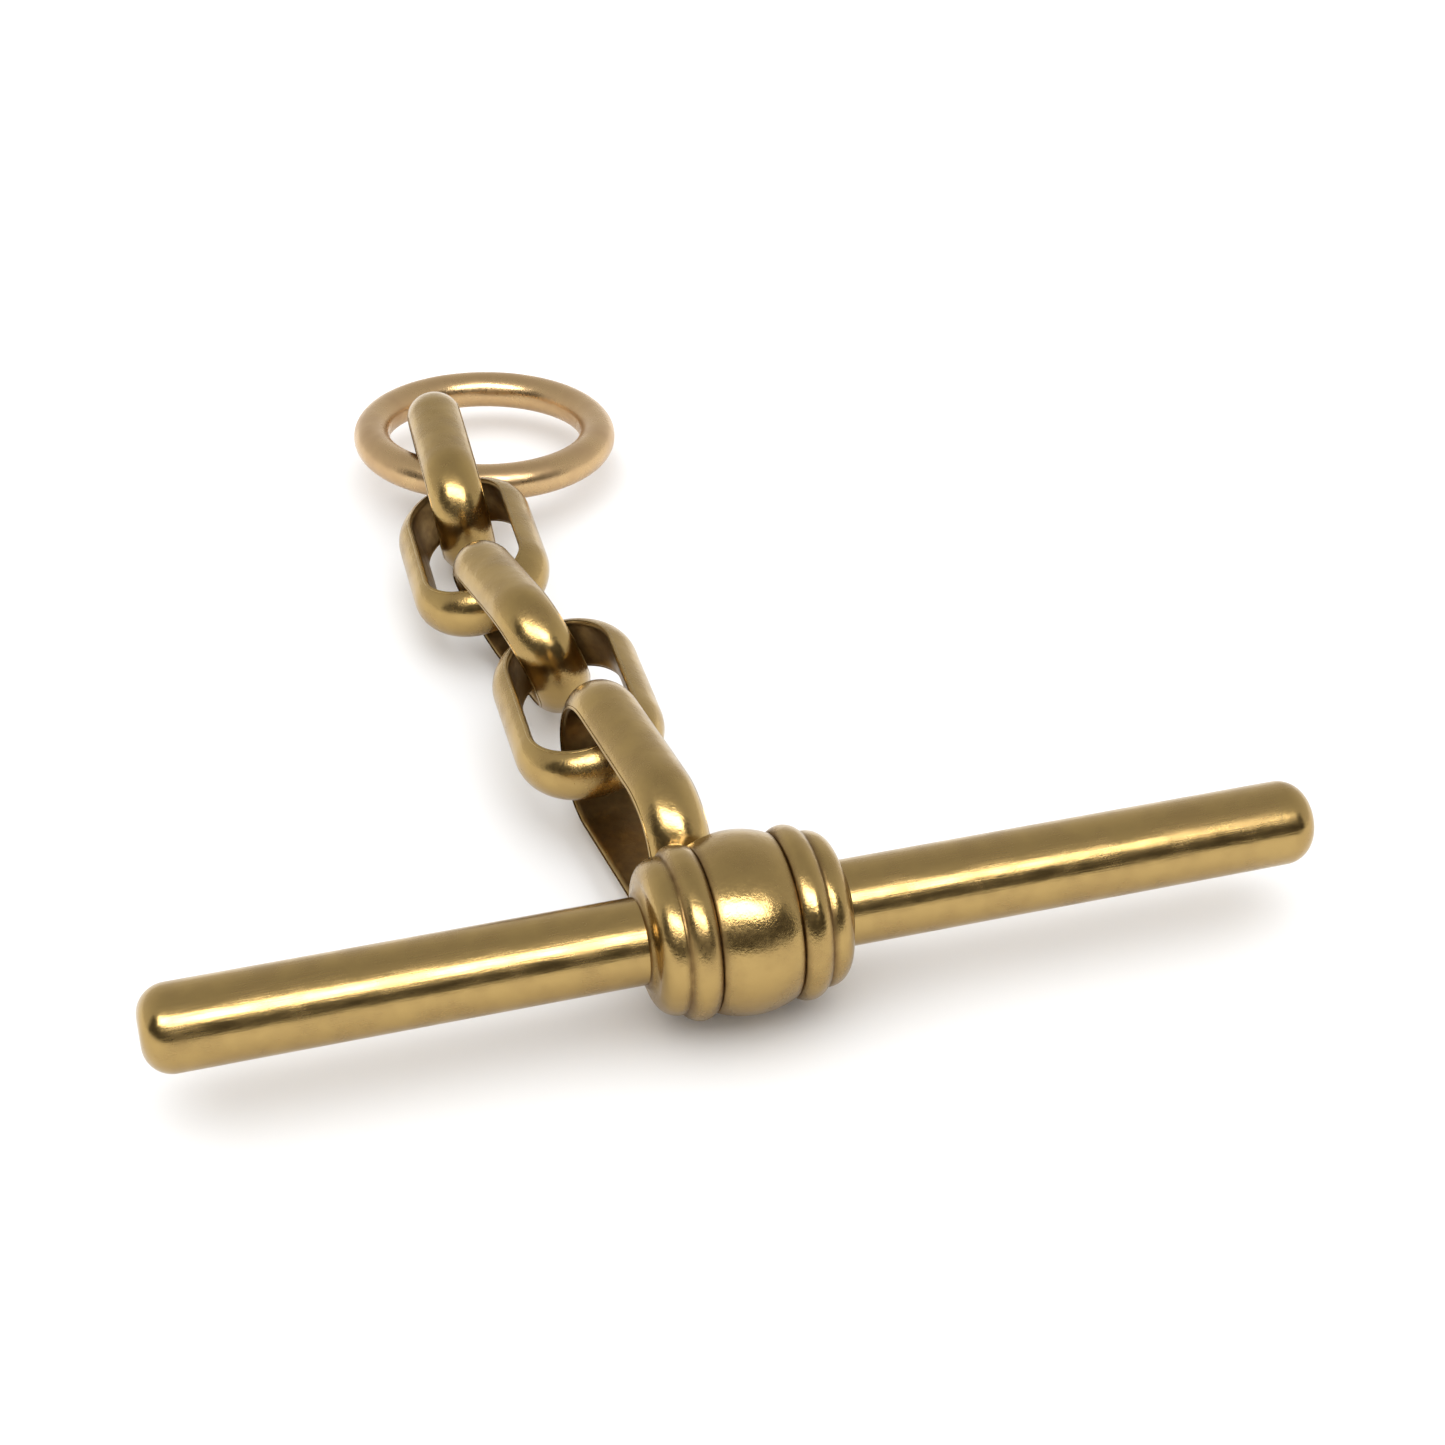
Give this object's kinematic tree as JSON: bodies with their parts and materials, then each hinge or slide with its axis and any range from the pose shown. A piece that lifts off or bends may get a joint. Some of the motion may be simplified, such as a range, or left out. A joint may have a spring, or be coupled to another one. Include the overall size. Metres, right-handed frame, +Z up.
{
  "type": "pocket watch chain",
  "caption": "Gold T-bar with a ringed collar and a fixed loop, carrying a short run of heavy D-section belcher links and a plain round end ring.",
  "frame": {"origin": "on the resting surface, straight below the middle of the bar", "axes": "+X along the bar, +Y from the bar along the chain to the end ring, +Z up from the resting surface"},
  "size_m": [0.0344, 0.0401, 0.0053],
  "materials": {
    "gold": "polished yellow gold with fine wear",
    "ring_gold": "slightly duller and pinker polished gold"
  },
  "bodies": {
    "t_bar": {"bar_tube": "gold", "bar_cap_left": "gold", "bar_cap_right": "gold", "collar_barrel": "gold", "collar_bead_left": "gold", "collar_bead_right": "gold", "collar_loop": "gold"},
    "link_1": {"link_1": "gold"},
    "link_2": {"link_2": "gold"},
    "link_3": {"link_3": "gold"},
    "link_4": {"link_4": "gold"},
    "end_ring": {"end_ring": "ring_gold"}
  },
  "joints": [
    {"name": "link_1_swing", "type": "hinge", "parent": "t_bar", "child": "link_1", "pos_m": [-0.00208, 0.01081, 0.00267], "axis": [0, 0, 1], "range_deg": [-40, 20]},
    {"name": "link_2_swing", "type": "hinge", "parent": "link_1", "child": "link_2", "pos_m": [-0.0019, 0.01582, 0.00272], "axis": [-0.9694, 0.0423, -0.2418], "range_deg": [-20, 45]},
    {"name": "link_3_swing", "type": "hinge", "parent": "link_2", "child": "link_3", "pos_m": [-0.00299, 0.02112, 0.00208], "axis": [-0.3521, 0.0781, 0.9327], "range_deg": [-50, 50]},
    {"name": "link_4_swing", "type": "hinge", "parent": "link_3", "child": "link_4", "pos_m": [-0.00281, 0.02666, 0.0023], "axis": [-0.9493, 0.0579, -0.3089], "range_deg": [-50, 20]},
    {"name": "end_ring_swing", "type": "hinge", "parent": "link_4", "child": "end_ring", "pos_m": [-0.00244, 0.03166, 0.00259], "axis": [-0.1585, -0.0235, 0.9871], "range_deg": [-10, 50]}
  ]
}
